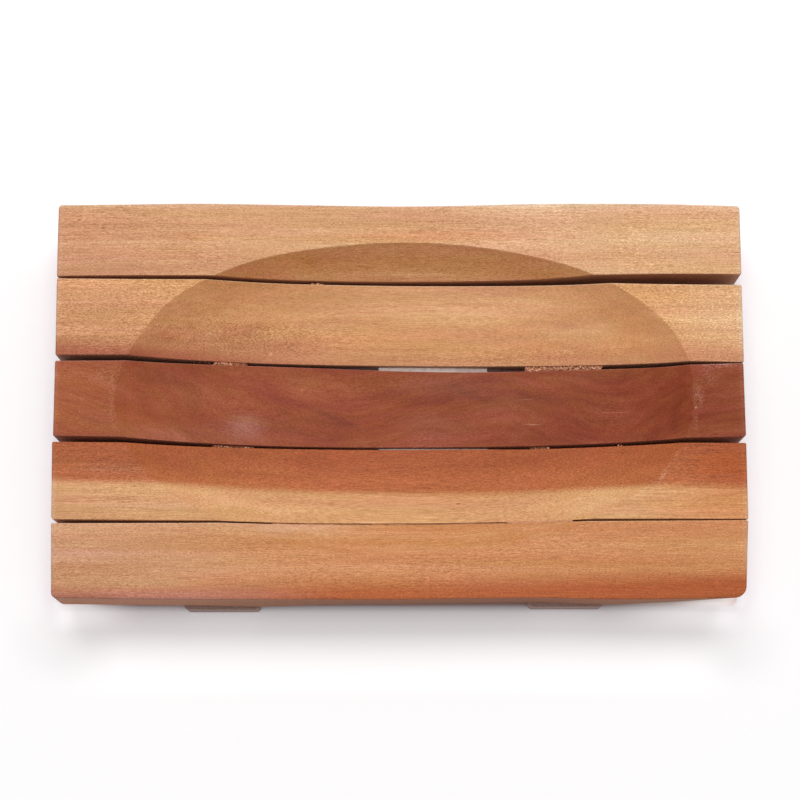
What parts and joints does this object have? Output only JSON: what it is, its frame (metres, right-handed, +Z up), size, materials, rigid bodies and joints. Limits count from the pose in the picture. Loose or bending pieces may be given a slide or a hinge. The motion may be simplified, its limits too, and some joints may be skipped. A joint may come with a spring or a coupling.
{
  "type": "soap dish",
  "caption": "Wooden soap dish: slats side by side with drain gaps, an oval recess scooped across them, and cross battens beneath as feet.",
  "frame": {"origin": "middle of the dish at the level of the surface that it stands on", "axes": "+X along the slats towards the right end, +Y towards the back slat, +Z up"},
  "size_m": [0.1302, 0.0772, 0.0185],
  "materials": {
    "pale_sapwood": "sanded bare wood, fine straight grain, slightly polished",
    "golden_wood": "sanded bare wood, golden tan with a slight sheen",
    "dark_heartwood": "sanded bare heartwood, red-brown with slanting figure",
    "two_tone_wood": "sanded bare wood, reddish behind and golden in front",
    "banded_wood": "sanded bare wood, tan with a reddish band near the front edge",
    "batten_wood": "sawn and lightly sanded bare wood",
    "stainless_steel": "plain stainless steel, satin",
    "label_paper": "plain white paper sticker, nothing printed on it"
  },
  "bodies": {
    "root": {"slat_1_back": "pale_sapwood", "slat_2": "golden_wood", "slat_3_middle": "dark_heartwood", "slat_4": "two_tone_wood", "slat_5_front": "banded_wood", "left_batten": "batten_wood", "right_batten": "batten_wood", "left_screw_1": "stainless_steel", "left_screw_2": "stainless_steel", "left_screw_3": "stainless_steel", "left_screw_4": "stainless_steel", "left_screw_5": "stainless_steel", "right_screw_1": "stainless_steel", "right_screw_2": "stainless_steel", "right_screw_3": "stainless_steel", "right_screw_4": "stainless_steel", "right_screw_5": "stainless_steel", "label": "label_paper"}
  },
  "joints": []
}
